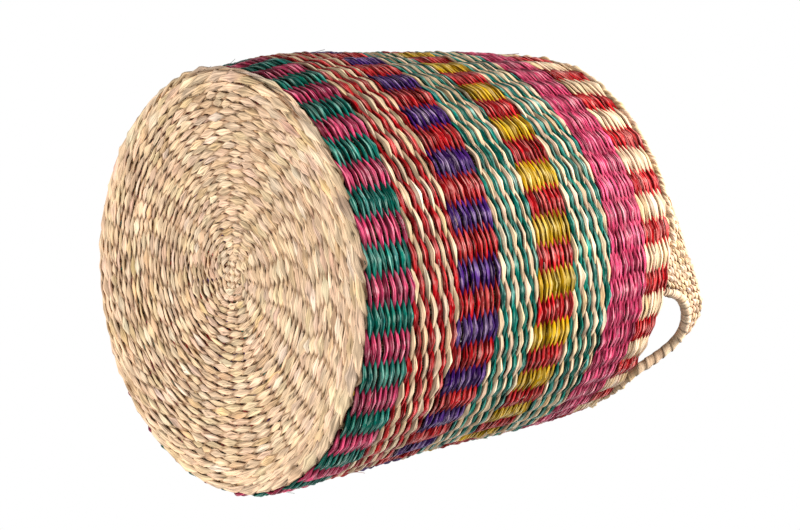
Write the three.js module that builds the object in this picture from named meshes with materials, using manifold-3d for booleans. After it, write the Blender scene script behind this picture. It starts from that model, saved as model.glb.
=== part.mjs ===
// A round basket, twined from grass strands over bent stakes, with two handles woven into its rim.
// Millimetres, +Z up. The origin is the middle of the flat ring that the basket stands on,
// and +X points at the first handle.
import * as THREE from "three";
import { mergeVertices } from "three/addons/utils/BufferGeometryUtils.js";
import Module from "manifold-3d";

const wasm = await Module();
wasm.setup();

// The woven skin, measured to the outside of the strands
const wallRadius = 180;
const wallThickness = 8.4;
const baseThickness = 8.6;
const baseRise = 12; // how far the middle of the base is pushed in
const standingWidth = 15.5; // the flat ring that it stands on, from the base to the corner
const baseBend = 100; // radius where the slope of the pushed-in base changes
const cornerRadius = 6.5; // the ring that touches the ground ends where this rounding starts
const edgeHeight = 7; // the plain row that climbs the wall before the first colour
const seamGap = 0.3; // left between two woven pieces that touch

// Heights of the colour bands, from the base to the rim
const tealPinkChecks = 46;
const redStripes = 49.3;
const purpleRedChecks = 48;
const lowerTealStripes = 48.2;
const yellowRedChecks = 44.6;
const upperTealStripes = 49.7;
const plainPink = 52.6;
const redNaturalChecks = 42.5;
const bands = [
  { name: "wall_band_1_teal_pink", height: tealPinkChecks, colour: 0x1d7f74 },
  { name: "wall_band_2_red_natural", height: redStripes, colour: 0xa8332f },
  { name: "wall_band_3_purple_red", height: purpleRedChecks, colour: 0x553a6b },
  { name: "wall_band_4_teal_natural", height: lowerTealStripes, colour: 0x2f8377 },
  { name: "wall_band_5_yellow_red", height: yellowRedChecks, colour: 0xc79a35 },
  { name: "wall_band_6_teal_natural", height: upperTealStripes, colour: 0x2f8377 },
  { name: "wall_band_7_pink", height: plainPink, colour: 0xc6507f },
  { name: "wall_band_8_red_natural", height: redNaturalChecks, colour: 0x9c2b2f },
];

// The stakes: each is one strand that runs out through the base and up the wall,
// turns over in the rim and comes back down beside itself
const stakeCount = 26;
const stakeDiameter = 3.6;
const stakeSides = 5;
const stakeBend = 2.4; // size of the slanted stretch that turns it up into the wall
const stakeClearance = 0.35; // all round, in the pocket that holds it
// How far each stake reaches in under the base from its corner. The base takes in more stakes
// as it grows, so their feet differ. The row is used again when it runs out.
const footLengths = [130, 32, 98, 130, 10, 61, 130, 20, 78, 130, 4, 113, 46];
const foldSlope = 4; // height and width of the slanted shoulder of a fold
const foldRise = 3; // how far a fold stands up into the rim border
const foldCover = 2; // weave left over a fold that stays below a handle opening

// The rim border
const borderHeight = 7;
const borderProud = 0.8; // how far the border stands out from the wall on each side

// The handles: a core that arches over the hand opening, a binding wound round it,
// and a plaited strap that swells out of the border and follows the core
const archRise = 46; // centre line of the core above the rim
const archSquareness = 1; // power of sine and cosine: 1 is an ellipse, less is squarer
const coreDiameter = 4.6;
const coreSides = 8;
const coreDepth = 20; // length of core pushed down into the last band
const coreClearance = 0.35;
const bindingTurns = 18;
const bindingWidth = 5.6;
const bindingThickness = 1.9;
const bindingClearance = 0.32;
const stepsPerTurn = 8;
const bindingSides = 5;
const strapRise = 56.6; // top of the strap above the top of the border
const strapHalfWidth = 54; // where the strap has sunk to half of its rise, along the rim
const strapPower = 5.2; // how steeply its shoulders fall
const strapClearance = 0.4;
const strapReach = 2; // it ends this many gaps between doubled stakes from its middle

// Values that follow from the driving sizes
const wallSegments = 2 * stakeCount;
const midRadius = wallRadius - wallThickness / 2;
const innerRadius = wallRadius - wallThickness;
const baseRadius = wallRadius - cornerRadius - standingWidth; // the base ends here
const stakeStep = (2 * Math.PI) / stakeCount;
const legAngle = stakeStep / 4; // each leg of a doubled stake, from the middle of the pair
const pocketHalf = stakeDiameter / 2 + stakeClearance;
const tightestFeet = pocketHalf / Math.sin(legAngle); // radius where two legs of a stake meet
const rimHeight = bands.reduce((sum, band) => sum + band.height, edgeHeight);
const borderTop = rimHeight + borderHeight;
const archHalfWidth = midRadius * stakeStep; // the core goes down between two doubled stakes
const strapEnd = strapReach * stakeStep;
const bindingRadius = (coreDiameter / 2 + bindingClearance + bindingThickness / 2)
  / Math.cos(Math.PI / stepsPerTurn);
const bindingReach = bindingRadius + bindingThickness / 2;

const natural = 0xd6bb8e;
const strandFinish = { roughness: 0.75, metalness: 0 };
const sameCorner = 1e-4; // corners closer than this are one corner
const slanting = new THREE.Vector3(0.31, 0.87, 0.38); // a direction that no rod runs in

const basket = new THREE.Group();

// A named piece in its own matt colour
function addPiece(name, geometry, colour) {
  const material = new THREE.MeshStandardMaterial({ color: colour, ...strandFinish });
  const mesh = new THREE.Mesh(geometry, material);
  mesh.name = name;
  basket.add(mesh);
}

// A point on the wall: angle round the basket, distance from its axis, height
function wallPoint(angle, radius, height) {
  return new THREE.Vector3(radius * Math.cos(angle), radius * Math.sin(angle), height);
}

// A closed skin over a row of rings with the same number of points, with flat ends.
// Each ring runs counter-clockwise as seen from the end of the row.
function loft(rings) {
  const sides = rings[0].length;
  const last = (rings.length - 1) * sides;
  const index = [];
  for (let i = 0; i < last; i += sides) {
    for (let j = 0; j < sides; j += 1) {
      const next = (j + 1) % sides;
      index.push(i + j, i + next, i + sides + next);
      index.push(i + j, i + sides + next, i + sides + j);
    }
  }
  for (let j = 1; j < sides - 1; j += 1) {
    index.push(0, j + 1, j);
    index.push(last, last + j, last + j + 1);
  }
  const geometry = new THREE.BufferGeometry().setFromPoints(rings.flat());
  geometry.setIndex(index);
  return geometry;
}

// A rod with flat ends along a row of points, its section carried without twist
function rod(points, radius, sides) {
  const count = points.length;
  const tangents = points.map((point, i) => new THREE.Vector3()
    .subVectors(points[Math.min(i + 1, count - 1)], points[Math.max(i - 1, 0)]).normalize());
  const across = slanting.clone();
  const rings = points.map((point, i) => {
    across.addScaledVector(tangents[i], -across.dot(tangents[i])).normalize();
    const beside = new THREE.Vector3().crossVectors(tangents[i], across);
    return Array.from({ length: sides }, (unused, j) => {
      const turn = (2 * Math.PI * j) / sides;
      return point.clone()
        .addScaledVector(across, radius * Math.cos(turn))
        .addScaledVector(beside, radius * Math.sin(turn));
    });
  });
  return loft(rings);
}

// A ring turned from a closed profile of [radius, height] points, counter-clockwise
function turned(profile) {
  const points = [...profile, profile[0]].map(([radius, height]) => new THREE.Vector2(radius, height));
  return new THREE.LatheGeometry(points, wallSegments).rotateX(Math.PI / 2);
}

// From a three.js mesh to a solid that can be cut: equal corners joined, flat slivers left out
function toSolid(geometry) {
  const bare = geometry.clone();
  bare.deleteAttribute("normal");
  bare.deleteAttribute("uv");
  const merged = mergeVertices(bare, sameCorner);
  const corners = merged.index.array;
  const triangles = [];
  for (let i = 0; i < corners.length; i += 3) {
    const [a, b, c] = [corners[i], corners[i + 1], corners[i + 2]];
    if (a !== b && b !== c && c !== a) triangles.push(a, b, c);
  }
  return new wasm.Manifold(new wasm.Mesh({
    numProp: 3,
    vertProperties: Float32Array.from(merged.attributes.position.array),
    triVerts: Uint32Array.from(triangles),
  }));
}

// And back to a three.js mesh
function toGeometry(solid) {
  const { vertProperties, triVerts } = solid.getMesh();
  const geometry = new THREE.BufferGeometry();
  geometry.setAttribute("position", new THREE.BufferAttribute(vertProperties, 3));
  geometry.setIndex(new THREE.BufferAttribute(triVerts, 1));
  return geometry;
}

// Height of the underside of the base: a shallow dome in two straight slopes
function baseUnderside(radius) {
  const dome = (r) => baseRise * (1 - (r / baseRadius) ** 2);
  const [from, to] = radius < baseBend ? [0, baseBend] : [baseBend, baseRadius];
  return dome(from) + ((dome(to) - dome(from)) * (radius - from)) / (to - from);
}

// Middle angle of one doubled stake; a handle sits in the gap between two of them
const stakeAngle = (number) => (number + 0.5) * stakeStep;

// Height of the fold of one doubled stake: it stays low where a hand opening is above it
function foldHeight(number) {
  const angle = stakeAngle(number);
  const fromHandle = Math.abs(Math.atan2(Math.sin(2 * angle), Math.cos(2 * angle))) / 2;
  return fromHandle < stakeStep ? rimHeight - foldCover - pocketHalf : rimHeight + foldRise;
}

// Radius at which a stake begins
function stakeStart(number) {
  return Math.max(baseRadius - footLengths[number % footLengths.length], tightestFeet);
}

// Route of one leg as [radius, height] points: out through the base, round the corner, up
function legRoute(start, top) {
  const mid = baseThickness / 2;
  const slope = start < baseBend ? [start, baseBend] : [start];
  return [
    ...slope.map((radius) => [radius, baseUnderside(radius) + mid]),
    [baseRadius, mid],
    [midRadius - stakeBend, mid],
    [midRadius, mid + stakeBend],
    [midRadius, top],
  ];
}

// The flat pocket between the outer and the inner strands that holds one doubled stake
function pocket(number) {
  const route = legRoute(stakeStart(number) - stakeClearance, foldHeight(number) + pocketHalf);
  const directions = route.slice(1).map(([radius, height], i) => new THREE.Vector2(
    radius - route[i][0], height - route[i][1]).normalize());
  const rings = route.map(([radius, height], i) => {
    const before = directions[Math.max(i - 1, 0)];
    const after = directions[Math.min(i, directions.length - 1)];
    const along = before.clone().add(after).normalize();
    const depth = pocketHalf / along.dot(after);
    const halfWidth = radius * Math.sin(legAngle) + pocketHalf;
    const corner = (side, face) => new THREE.Vector3(
      radius * Math.cos(legAngle) - face * depth * along.y,
      side * halfWidth,
      height + face * depth * along.x,
    );
    return [corner(1, 1), corner(-1, 1), corner(-1, -1), corner(1, -1)];
  });
  return toSolid(loft(rings).rotateZ(stakeAngle(number)));
}

// One doubled stake, from the base up one leg, over the fold and down the other
function stake(number) {
  const route = legRoute(stakeStart(number), foldHeight(number) - foldSlope);
  const leg = route.map(([radius, height]) => new THREE.Vector3(
    radius * Math.cos(legAngle), radius * Math.sin(legAngle), height));
  const shoulder = leg[leg.length - 1].clone().add(new THREE.Vector3(0, -foldSlope, foldSlope));
  const half = [...leg, shoulder];
  const mirrored = half.map((point) => new THREE.Vector3(point.x, -point.y, point.z)).reverse();
  return rod([...half, ...mirrored], stakeDiameter / 2, stakeSides).rotateZ(stakeAngle(number));
}

const stakeNumbers = Array.from({ length: stakeCount }, (unused, number) => number);
const pockets = wasm.Manifold.union(stakeNumbers.map(pocket));

// A woven piece with the pockets for the stakes cut out of it
const woven = (geometry) => toGeometry(toSolid(geometry).subtract(pockets));

// The base: a pushed-in disc, and the rows that turn the corner, flat where they stand
function baseDisc() {
  const under = [0, baseBend, baseRadius - seamGap].map((radius) => [radius, baseUnderside(radius)]);
  const over = under.map(([radius, height]) => [radius, height + baseThickness]).reverse();
  return turned([...under, ...over]);
}

function edgeRows() {
  const corner = [0, 1, 2].map((step) => {
    const turn = (step / 2) * (Math.PI / 2);
    return [wallRadius - cornerRadius * (1 - Math.sin(turn)), cornerRadius * (1 - Math.cos(turn))];
  });
  const top = edgeHeight - seamGap / 2;
  const inside = innerRadius - seamGap;
  return turned([
    [baseRadius, 0],
    ...corner,
    [wallRadius, top],
    [inside, top],
    [inside, baseThickness],
    [baseRadius, baseThickness],
  ]);
}

addPiece("base_weave", woven(baseDisc()), natural);
addPiece("base_edge_rows", woven(edgeRows()), natural);

// The core of a handle in (distance along the rim, height), and the same arch grown outwards
function archPoint(turn, grow) {
  const [sideways, up] = [Math.cos(turn), Math.sin(turn)];
  return [
    (archHalfWidth + grow) * Math.sign(sideways) * Math.abs(sideways) ** archSquareness,
    rimHeight + seamGap + (archRise + grow) * Math.abs(up) ** archSquareness,
  ];
}

const archSteps = 40;
const archCurve = new THREE.CatmullRomCurve3(
  Array.from({ length: archSteps + 1 }, (unused, i) => {
    const [along, height] = archPoint(Math.PI * (1 - i / archSteps), 0);
    return wallPoint(along / midRadius, midRadius, height);
  }),
);

// The core, with a leg at each end that goes down into the last band
function handleCore() {
  const over = archCurve.getSpacedPoints(bindingTurns);
  const foot = (point) => new THREE.Vector3(point.x, point.y, rimHeight - coreDepth);
  return rod([foot(over[0]), ...over, foot(over[over.length - 1])], coreDiameter / 2, coreSides);
}

// The binding: one flat strand wound round the core, with short straight ends
function bindingRings() {
  const inset = (bindingWidth / 2 + seamGap) / archCurve.getLength();
  const steps = bindingTurns * stepsPerTurn;
  const rings = [];
  for (let i = 0; i <= steps; i += 1) {
    const share = inset + (1 - 2 * inset) * (i / steps);
    const centre = archCurve.getPointAt(share);
    const along = archCurve.getTangentAt(share);
    const outward = new THREE.Vector3(centre.x, centre.y, 0).normalize();
    const inPlane = new THREE.Vector3().crossVectors(along, outward).normalize();
    const turn = (2 * Math.PI * i) / stepsPerTurn;
    const away = outward.clone().multiplyScalar(Math.cos(turn)).addScaledVector(inPlane, Math.sin(turn));
    const middle = centre.clone().addScaledVector(away, bindingRadius);
    rings.push(Array.from({ length: bindingSides }, (unused, j) => {
      const side = (2 * Math.PI * j) / bindingSides;
      return middle.clone()
        .addScaledVector(away, (bindingThickness / 2) * Math.cos(side))
        .addScaledVector(along, -(bindingWidth / 2) * Math.sin(side));
    }));
  }
  return rings;
}

// The least distance between points of the binding that lie most of a turn or more apart
function leastGap(rings) {
  let least = Infinity;
  for (let i = 0; i < rings.length; i += 1) {
    for (let k = i + stepsPerTurn - 2; k < rings.length; k += 1) {
      for (const p of rings[i]) for (const q of rings[k]) least = Math.min(least, p.distanceTo(q));
    }
  }
  return least;
}

// Height of the outer edge of the border at an angle from the middle of a handle:
// level round the rim, and a bell with steep shoulders over the hand opening
function edgeTop(angle) {
  const share = (Math.abs(angle) * midRadius) / strapHalfWidth;
  return borderTop + strapRise / (1 + share ** strapPower);
}

// A strip of the wall between a lower and an upper edge, each a row of [angle, height]
function wallStrip(lower, upper, proud) {
  const inner = innerRadius - proud;
  const outer = wallRadius + proud;
  return loft(lower.map(([angle, height], i) => [
    wallPoint(upper[i][0], outer, upper[i][1]),
    wallPoint(angle, outer, height),
    wallPoint(angle, inner, height),
    wallPoint(upper[i][0], inner, upper[i][1]),
  ]));
}

// The strap: level over the rim at both ends, and bent round the core in between
function handleStrap() {
  const grow = bindingReach + strapClearance;
  const shoulder = (archHalfWidth + grow) / midRadius;
  const outerShoulder = (shoulder + strapEnd) / 2;
  const flatSteps = 3;
  const bendSteps = 16;
  const lower = [];
  const upper = [];
  const ease = (share) => outerShoulder + (strapEnd - outerShoulder) * share;
  for (let i = 0; i < flatSteps; i += 1) {
    const share = 1 - i / flatSteps;
    lower.push([-(shoulder + (strapEnd - shoulder) * share), rimHeight + seamGap]);
    upper.push([-ease(share), edgeTop(ease(share))]);
  }
  for (let i = 0; i <= bendSteps; i += 1) {
    const turn = Math.PI * (1 - i / bendSteps);
    const [along, height] = archPoint(turn, grow);
    const angle = outerShoulder * Math.cos(turn);
    lower.push([along / midRadius, height]);
    upper.push([angle, edgeTop(angle)]);
  }
  for (let i = flatSteps - 1; i >= 0; i -= 1) {
    lower.push([-lower[i][0], lower[i][1]]);
    upper.push([-upper[i][0], upper[i][1]]);
  }
  return wallStrip(lower, upper, 0);
}

// The border from the end of one strap round to the other
function rimBorder() {
  const gap = seamGap / midRadius;
  const steps = stakeCount - 4 * strapReach;
  const angles = Array.from({ length: steps + 1 }, (unused, i) => (
    strapEnd + gap + (Math.PI - 2 * (strapEnd + gap)) * (i / steps)));
  const lower = angles.map((angle) => [angle, rimHeight + seamGap]);
  const upper = angles.map((angle) => [angle, edgeTop(Math.min(angle, Math.PI - angle))]);
  return wallStrip(lower, upper, borderProud);
}

const halfTurns = [0, Math.PI];

// The wall: one ring for each colour band; the last also takes the feet of the handles
const sockets = wasm.Manifold.union(halfTurns.flatMap((turn) => [-1, 1].map((side) => {
  const foot = wallPoint(turn + side * stakeStep, midRadius, rimHeight - coreDepth - coreClearance);
  const mouth = foot.clone().setZ(rimHeight + coreDepth);
  return toSolid(rod([foot, mouth], coreDiameter / 2 + coreClearance, coreSides));
})));

let bandFoot = edgeHeight;
for (const band of bands) {
  const low = bandFoot + seamGap / 2;
  const high = bandFoot + band.height - seamGap / 2;
  const section = [[innerRadius, low], [wallRadius, low], [wallRadius, high], [innerRadius, high]];
  const ring = woven(turned(section));
  bandFoot += band.height;
  const last = band === bands[bands.length - 1];
  addPiece(band.name, last ? toGeometry(toSolid(ring).subtract(sockets)) : ring, band.colour);
}

for (const number of stakeNumbers) {
  addPiece(`stake_${String(number + 1).padStart(2, "0")}`, stake(number), natural);
}

const binding = bindingRings();
console.log(`least gap between turns of the handle binding: ${leastGap(binding).toFixed(2)} mm`);

halfTurns.forEach((turn, side) => {
  const letter = "ab"[side];
  addPiece(`rim_border_${letter}`, woven(rimBorder().rotateZ(turn)), natural);
  addPiece(`handle_${letter}_core`, handleCore().rotateZ(turn), natural);
  addPiece(`handle_${letter}_binding`, loft(binding).rotateZ(turn), natural);
  addPiece(`handle_${letter}_strap`, woven(handleStrap().rotateZ(turn)), natural);
});

export default basket;
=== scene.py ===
# %% [markdown]
# # A twined grass basket
#
# The basket is made the way a weaver makes it. Stakes run out from the middle of the base and
# up the wall. Pairs of grass strands are twisted round them, row by row: at each stake one
# strand of the pair lies outside and the other inside, and between two stakes they change
# places. Two colours in a pair give the checks and the stripes. Each woven piece here is
# made of those strands, so the pattern comes from the weave and not from a picture.

import bpy
import numpy as np
from mathutils import Matrix, Vector


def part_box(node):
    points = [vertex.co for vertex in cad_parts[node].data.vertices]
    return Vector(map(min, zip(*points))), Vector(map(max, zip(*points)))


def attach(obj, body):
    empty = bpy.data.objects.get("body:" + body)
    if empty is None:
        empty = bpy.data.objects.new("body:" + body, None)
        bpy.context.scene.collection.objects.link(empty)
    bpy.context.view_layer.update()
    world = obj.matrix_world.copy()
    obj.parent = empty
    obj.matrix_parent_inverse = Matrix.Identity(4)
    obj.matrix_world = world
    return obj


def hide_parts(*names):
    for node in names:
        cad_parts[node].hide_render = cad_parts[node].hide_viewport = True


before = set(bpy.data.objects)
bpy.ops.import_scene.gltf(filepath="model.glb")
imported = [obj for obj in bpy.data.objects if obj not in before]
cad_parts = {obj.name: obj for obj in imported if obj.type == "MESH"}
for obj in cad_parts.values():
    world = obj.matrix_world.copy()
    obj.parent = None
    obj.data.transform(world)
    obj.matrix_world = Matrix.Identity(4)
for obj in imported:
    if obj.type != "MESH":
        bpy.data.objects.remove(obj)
scene = bpy.context.scene
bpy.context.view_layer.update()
MM = 0.001


# %% [markdown]
# ## Sizes
#
# What the frame knows is read from it: the radius of the wall, and where each colour band
# starts and ends. The rest are the sizes of the weave itself. Lengths are in millimetres up
# to make_strands(), which turns them into metres.

# %% Sizes of the basket and its strands
def node_box(name):
    """Lowest and highest corner of a CAD node, in millimetres."""
    low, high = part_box(name)
    return np.array(low) / MM, np.array(high) / MM


wall_radius = node_box("base_edge_rows")[1][0]
wall_thickness = 8.4
mid_radius = wall_radius - wall_thickness / 2
base_radius = node_box("base_weave")[1][0]
base_rise = 12.0
base_half_thickness = 4.9
corner_radius = 6.5
rim_height = node_box("wall_band_8_red_natural")[1][2]
border_top = node_box("rim_border_a")[1][2]

leg_count = 52
leg_step = 2 * np.pi / leg_count
row_pitch = 5.8
strand_width = 6.9
strand_thickness = 2.5
strand_swell = 3.2
strand_slip = 1.45
# wall legs are drawn this wide as a dark backing: what shows through the gaps is painted shade
leg_width = 16.0

print(f"wall radius {wall_radius:.1f} mm, rim at {rim_height:.1f} mm, {leg_count} legs")


# %% [markdown]
# ## The shape that every strand follows
#
# All woven rows lie on one surface of revolution, the middle of the weave: out along the
# base, which is pushed in a little in the middle, round the corner and up the wall. A place
# on it is an angle and a distance along that profile. A hand-made basket isn't a true
# cylinder, so the wall swells and draws in by a few millimetres from band to band.

# %% The middle of the weave
corner_bend = corner_radius - wall_thickness / 2
corner_start = mid_radius - corner_bend
corner_end = corner_start + corner_bend * np.pi / 2
wall_swell = np.array([0.0, 2.2, 3.4, 3.2, 2.6, 2.8, 2.8, 1.0, -1.6])
lean_angle = np.radians(-121.7)
wall_lean = 3.0
foot_lean = 3.6
foot_height = 20.0
foot_reach = 35.0
rim_lobes = 2.4
dent_angle = np.radians(-168)
dent_width = np.radians(45)
dent_depth = 7.0
dent_height = 70.0
start_x, start_y = 2.8, -5.0  # the first rows aren't quite in the middle


def uneven(angle, height):
    """How far the wall stands out from a true cylinder: a smooth curve over the height,
    plus slow waves round the basket that turn as they climb."""
    band = height / rim_height * (len(wall_swell) - 1)
    low = np.clip(np.floor(band).astype(int), 0, len(wall_swell) - 2)
    share = np.clip(band - low, 0, 1)
    ease = share * share * (3 - 2 * share)
    rings = wall_swell[low] * (1 - ease) + wall_swell[low + 1] * ease
    lean = wall_lean * np.cos(angle - lean_angle) * np.sin(np.pi * np.clip(height / rim_height, 0, 1))
    waves = 0.5 * np.sin(3 * angle + 0.011 * height + 0.8)
    waves = waves + 0.45 * np.sin(5 * angle - 0.023 * height)
    away = np.angle(np.exp(1j * (angle - dent_angle))) / dent_width
    dent = dent_depth * np.exp(-away**2 - (height / dent_height) ** 2)
    foot = foot_lean * np.cos(angle - lean_angle) * np.exp(-((height - foot_height) / foot_reach) ** 2)
    dent = dent + foot * np.clip(height / 14, 0, 1)
    lobes = rim_lobes * np.cos(3 * (angle - lean_angle)) * np.clip(height / rim_height, 0, 1) ** 4
    return (rings + lean + waves) * np.clip(height / 40 - 0.2, 0, 1) + lobes - dent


def weave_surface(angle, along):
    """Point, outward normal and direction up the profile, in millimetres.
    Up to corner_start the profile is the base: radius = along, height = rise * (1 - (r/R)^2).
    Then comes a quarter circle, and then the wall: height = corner + (along - corner_end)."""
    angle, along = np.broadcast_arrays(angle, along)
    turn = np.clip((along - corner_start) / corner_bend, 0, np.pi / 2)
    radius = np.minimum(along, corner_start) + corner_bend * np.sin(turn)
    dome = np.clip(1 - (along / base_radius) ** 2, 0, None)
    height = base_half_thickness + base_rise * dome + corner_bend * (1 - np.cos(turn))
    height = height + np.clip(along - corner_end, 0, None)
    slope = np.where(along < base_radius, -2 * base_rise * along / base_radius**2, 0)
    run = np.cos(turn)
    rise = np.sin(turn) + slope
    size = np.hypot(run, rise)
    run, rise = run / size, rise / size
    radius = radius + uneven(angle, height) * np.clip((along - 40) / 100, 0, 1)
    lumps = 0.7 * np.sin(3 * angle + 0.05 * along) + 0.5 * np.sin(7 * angle - 0.09 * along)
    height = height + lumps * np.clip(1 - along / base_radius, 0, 1)
    cos, sin = np.cos(angle), np.sin(angle)
    off = np.clip(1 - along / base_radius, 0, 1)
    point = np.stack([radius * cos + start_x * off, radius * sin + start_y * off, height], -1)
    outward = np.stack([rise * cos, rise * sin, -run], -1)
    upward = np.stack([run * cos, run * sin, rise], -1)
    return point, outward, upward


def along_for_height(height):
    """Distance along the profile of a place on the wall."""
    return corner_end + height - (base_half_thickness + corner_bend)


print(f"profile: corner from {corner_start:.1f} to {corner_end:.1f} mm")

# %% [markdown]
# ## One pair of strands
#
# A strand is a flat blade of grass, wide in the middle of each float and squeezed where it
# slips between two stakes. It runs as a helix round the line of its row: out over one stake,
# down between, in behind the next. Over the stake it bends sharply, like a tent over its
# pole, and that bend is what catches the light. Outside it stays up for more than half of its
# way, so that the pointed ends of neighbouring floats lie between each other like fingers. No
# two floats are alike, so each gets its own width, height, lean and colour from one seeded
# generator.

# %% Random values that change from float to float
rng = np.random.default_rng(26)
# where a strand has a ring, in half-turns from its stake: closest where it bends
kink_steps = np.array([-0.5, -0.36, -0.22, -0.08, -0.03, 0.03, 0.08, 0.22, 0.36])
float_reach = 2.0
fold_round = 0.12


def eased(values, turns):
    """Values given at whole half-turns, eased between them: a + (b - a) * s * s * (3 - 2s)."""
    count = len(values)
    low = np.floor(turns).astype(int)
    share = turns - low
    ease = share * share * (3 - 2 * share)
    ease = ease.reshape(ease.shape + (1,) * (values.ndim - 1))
    return values[low % count] * (1 - ease) + values[(low + 1) % count] * ease


def bent(phase, reach):
    """A wave with straight slopes: 1 over the stake, 0 at reach either way, -1 behind the
    next stake. Its peak is rounded: sqrt(phase^2 + fold_round^2) - fold_round."""
    away = np.hypot(np.angle(np.exp(1j * phase)), fold_round) - fold_round
    return np.interp(away, [0, reach, np.pi - fold_round], [1, 0, -1])


def leaning(phase, reach):
    """A wave that climbs straight along the outer float and drops back behind the stake:
    phase / (pi / 2) up to reach either way, then straight back to nought at pi."""
    wrapped = np.angle(np.exp(1j * phase))
    top = reach / (np.pi / 2)
    return np.interp(wrapped, [-np.pi, -reach, reach, np.pi], [0, -top, top, 0])


def unit(vectors):
    """Vectors of length one."""
    return vectors / np.linalg.norm(vectors, axis=-1, keepdims=True)


def linear(colour):
    """A colour written as 0 to 255 per channel, as light: ((c + 0.055) / 1.055) ^ 2.4."""
    share = np.array(colour, float) / 255
    return np.where(share <= 0.04045, share / 12.92, ((share + 0.055) / 1.055) ** 2.4)


# %% Dyes
natural = linear((233, 200, 164))
straw = linear((206, 166, 118))
golden = linear((230, 186, 116))
rosy = linear((224, 176, 150))
pale = linear((246, 226, 200))
teal = linear((4, 114, 99))
pink = linear((208, 64, 104))
red = linear((182, 16, 24))
purple = linear((64, 18, 104))
yellow = linear((202, 156, 12))


# %% A ribbon along a path
def ribbon(path, normal, width, thickness, colour, closed, sides=8, crease=1.0):
    """A tube with a flattened section: path + across * width/2 * cos + normal * thickness/2 *
    sin ^ 0.8, where across is at right angles to the path and to the normal. Crease is a
    factor for each ring and side that folds the section. Returns what make_strands() needs."""
    if closed:
        ahead = np.roll(path, -1, 0) - np.roll(path, 1, 0)
    else:
        ahead = np.gradient(path, axis=0)
    tangent = unit(ahead)
    across = unit(np.cross(normal, tangent))
    up = np.cross(tangent, across)
    turn = 2 * np.pi * np.arange(sides) / sides
    beside = np.cos(turn)
    above = np.sign(np.sin(turn)) * np.abs(np.sin(turn)) ** 0.8
    wide = (np.broadcast_to(width, len(path)) / 2)[:, None] * beside
    thick = (np.broadcast_to(thickness, len(path)) / 2)[:, None] * above * crease
    grid = path[:, None] + across[:, None] * wide[..., None] + up[:, None] * thick[..., None]
    steps = np.linalg.norm(np.diff(path, axis=0, append=path[:1]), axis=1)
    length = np.concatenate([[0], np.cumsum(steps)])
    edge = np.broadcast_to(np.abs(beside), grid.shape[:2])
    return {"grid": grid, "colour": np.repeat(colour[:, None], sides, axis=1), "edge": edge,
            "crest": np.ones(grid.shape[:2]), "length": length, "closed": closed}


# Painted shade: strands are darkened where they tuck in and at the tips where they cross, warmer in the
# dark, for the shade in the gaps of the weave
tuck_warmth = np.array([1.0, 1.2, 1.35])
dyed_tuck = 0.12
natural_tuck = 0.5
shaded_tip_length = 0.35
undyed_wear_and_sheen = 0.62


def painted_shade_at(crest, tuck, lit_from):
    """Painted shade where a strand tucks in, standing in for the dark gaps of the weave: a factor
    from the darkest share at no crest to 1 at a crest of lit_from, eased, to a power for each
    channel, so that the painted shade is warm."""
    share = np.clip(crest / lit_from, 0, 1)
    shade = tuck + (1 - tuck) * share * share * (3 - 2 * share)
    return shade[..., None] ** tuck_warmth


# How much the floats differ: shares of their swell, width and creases, millimetres of offset
# and slip, radians of roll. A strand differs least where the other one holds it.
swell_spread, offset_spread, slip_spread = 0.08, 0.22, 0.4
roll_spread, width_spread, crease_spread = 0.22, 0.12, 0.34
held = 0.6
hidden_pinch = 0.4
crossing_bulge = 0.3


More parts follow.
